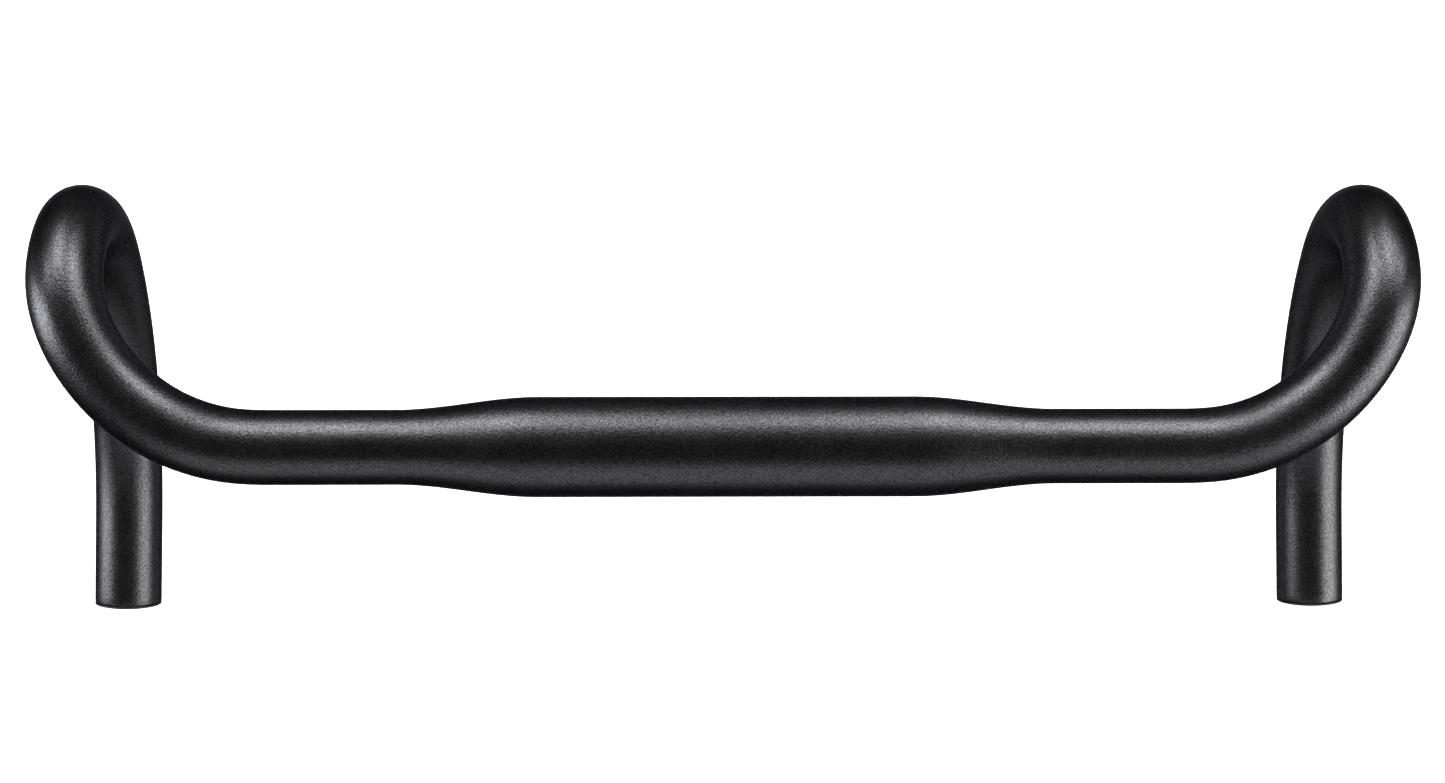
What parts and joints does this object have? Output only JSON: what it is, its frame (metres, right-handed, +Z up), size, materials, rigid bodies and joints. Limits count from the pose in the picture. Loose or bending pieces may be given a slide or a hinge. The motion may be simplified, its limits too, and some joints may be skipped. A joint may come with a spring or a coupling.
{
  "type": "drop handlebar",
  "caption": "Bent and butted aluminium drop handlebar for a road bicycle, with a screw-tightened expander plug closing each end.",
  "frame": {"origin": "centre of the stem clamp, on the tube's centreline midway between the two drops", "axes": "+X to the rider's right along the tops, +Y forward away from the rider, +Z up with the ramps close to level"},
  "size_m": [0.461, 0.1475, 0.1525],
  "materials": {
    "anodised_tube": "bead-blasted black anodised",
    "plug_nylon": "moulded matt",
    "black_steel": "black oxide",
    "plug_rubber": "matt",
    "zinc_steel": "zinc plated"
  },
  "bodies": {
    "bar": {"handlebar_tube": "anodised_tube"},
    "right_plug": {"right_plug_cap": "plug_nylon", "right_plug_sleeve": "plug_rubber"},
    "right_screw": {"right_plug_screw": "black_steel"},
    "right_wedge": {"right_plug_wedge": "plug_nylon", "right_plug_nut": "zinc_steel"},
    "left_plug": {"left_plug_cap": "plug_nylon", "left_plug_sleeve": "plug_rubber"},
    "left_screw": {"left_plug_screw": "black_steel"},
    "left_wedge": {"left_plug_wedge": "plug_nylon", "left_plug_nut": "zinc_steel"}
  },
  "joints": [
    {"name": "right_plug_slide", "type": "slide", "parent": "bar", "child": "right_plug", "axis": [0.0366, -0.9929, -0.1131], "range_m": [0, 0.036]},
    {"name": "right_screw_turn", "type": "hinge", "parent": "right_plug", "child": "right_screw", "pos_m": [0.21862, -0.05919, -0.12471], "axis": [0.0366, -0.9929, -0.1131], "range_deg": [0, 1440.5]},
    {"name": "right_wedge_slide", "type": "slide", "parent": "right_plug", "child": "right_wedge", "axis": [-0.0366, 0.9929, 0.1131], "range_m": [0, 0.0028]},
    {"name": "left_plug_slide", "type": "slide", "parent": "bar", "child": "left_plug", "axis": [-0.0366, -0.9929, -0.1131], "range_m": [0, 0.036]},
    {"name": "left_screw_turn", "type": "hinge", "parent": "left_plug", "child": "left_screw", "pos_m": [-0.21862, -0.05919, -0.12471], "axis": [-0.0366, -0.9929, -0.1131], "range_deg": [0, 1440.5]},
    {"name": "left_wedge_slide", "type": "slide", "parent": "left_plug", "child": "left_wedge", "axis": [0.0366, 0.9929, 0.1131], "range_m": [0, 0.0028]}
  ],
  "couplings": [
    {"joint": "right_screw_turn", "follows": "right_wedge_slide", "rad_per_m": 8976},
    {"joint": "left_screw_turn", "follows": "left_wedge_slide", "rad_per_m": 8976}
  ]
}
